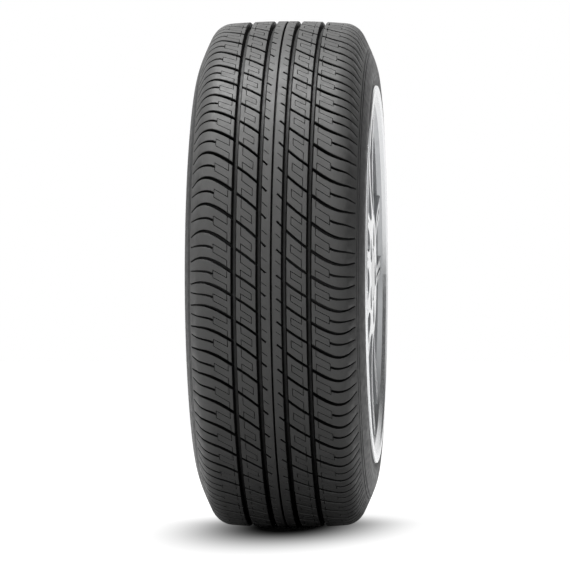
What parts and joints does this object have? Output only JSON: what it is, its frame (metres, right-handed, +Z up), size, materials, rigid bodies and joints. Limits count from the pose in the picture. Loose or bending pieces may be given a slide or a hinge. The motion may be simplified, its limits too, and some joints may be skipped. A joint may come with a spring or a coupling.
{
  "type": "car tyre on alloy wheel",
  "caption": "Low-profile tubeless car tyre with a grooved tread, mounted on a light-alloy wheel with twin spokes, valve and centre cap.",
  "frame": {"origin": "the wheel's centre: on the axle, midway between the bead seats", "axes": "+Y along the axle towards the car, so the design face looks along -Y; +Z up, with the flat of the tread at the bottom"},
  "size_m": [0.6252, 0.2165, 0.6232],
  "materials": {
    "tyre": "black tread rubber, matt",
    "wheel": "machined and clear-coated",
    "valve_rubber": "moulded",
    "valve_brass": "turned",
    "cap_plastic": "moulded",
    "centre_cap": "silver lacquer, bare",
    "spring_wire": "drawn wire"
  },
  "bodies": {
    "root": {"tyre": "tyre", "wheel": "wheel", "valve_stem": "valve_rubber", "valve_tube": "valve_brass", "valve_core": "valve_brass", "valve_cap": "cap_plastic", "centre_cap": "centre_cap", "cap_ring": "spring_wire"}
  },
  "joints": []
}
